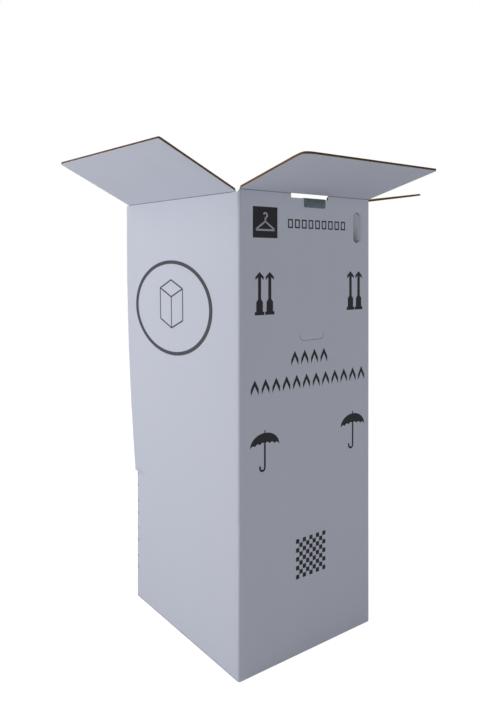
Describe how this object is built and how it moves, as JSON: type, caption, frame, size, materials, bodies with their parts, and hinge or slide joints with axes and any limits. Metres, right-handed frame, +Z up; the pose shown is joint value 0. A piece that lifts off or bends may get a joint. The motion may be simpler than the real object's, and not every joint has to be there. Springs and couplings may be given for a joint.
{
  "type": "wardrobe moving box",
  "caption": "Tall double-wall corrugated carton on its base, with hinged top flaps lying open and a steel hanging rail hooked into slots in its walls.",
  "frame": {"origin": "middle of the carton's base, on the surface that it stands on", "axes": "+Z up, -Y towards the printed front wall with the rail slot, -X towards the left wall whose rear edge is torn free"},
  "size_m": [1.0622, 1.1097, 1.4652],
  "materials": {
    "carton_board": "white-lined corrugated board, kraft inside",
    "flap_board": "white-lined corrugated board, kraft inside",
    "galvanised_steel": "folded galvanised strip",
    "tape_film": "brown packing tape"
  },
  "bodies": {
    "carton": {"carton_body": "carton_board", "hanging_rail": "galvanised_steel", "bottom_tape": "tape_film"},
    "front_top": {"front_flap": "flap_board"},
    "back_top": {"back_flap": "flap_board"},
    "left_top": {"left_flap": "flap_board"},
    "right_top": {"right_flap": "flap_board"}
  },
  "joints": [
    {"name": "front_flap_fold", "type": "hinge", "parent": "carton", "child": "front_top", "pos_m": [0, -0.3002, 1.34], "axis": [-1, 0, 0], "range_deg": [-88.1, 166.9]},
    {"name": "back_flap_fold", "type": "hinge", "parent": "carton", "child": "back_top", "pos_m": [0, 0.3002, 1.34], "axis": [1, 0, 0], "range_deg": [-101, 154]},
    {"name": "left_flap_fold", "type": "hinge", "parent": "carton", "child": "left_top", "pos_m": [-0.2742, 0.00349, 1.3331], "axis": [-0.064, 0.998, 0], "range_deg": [-104.7, 155.3]},
    {"name": "right_flap_fold", "type": "hinge", "parent": "carton", "child": "right_top", "pos_m": [0.2552, 0, 1.3331], "axis": [0, -1, 0], "range_deg": [-88, 174]}
  ]
}
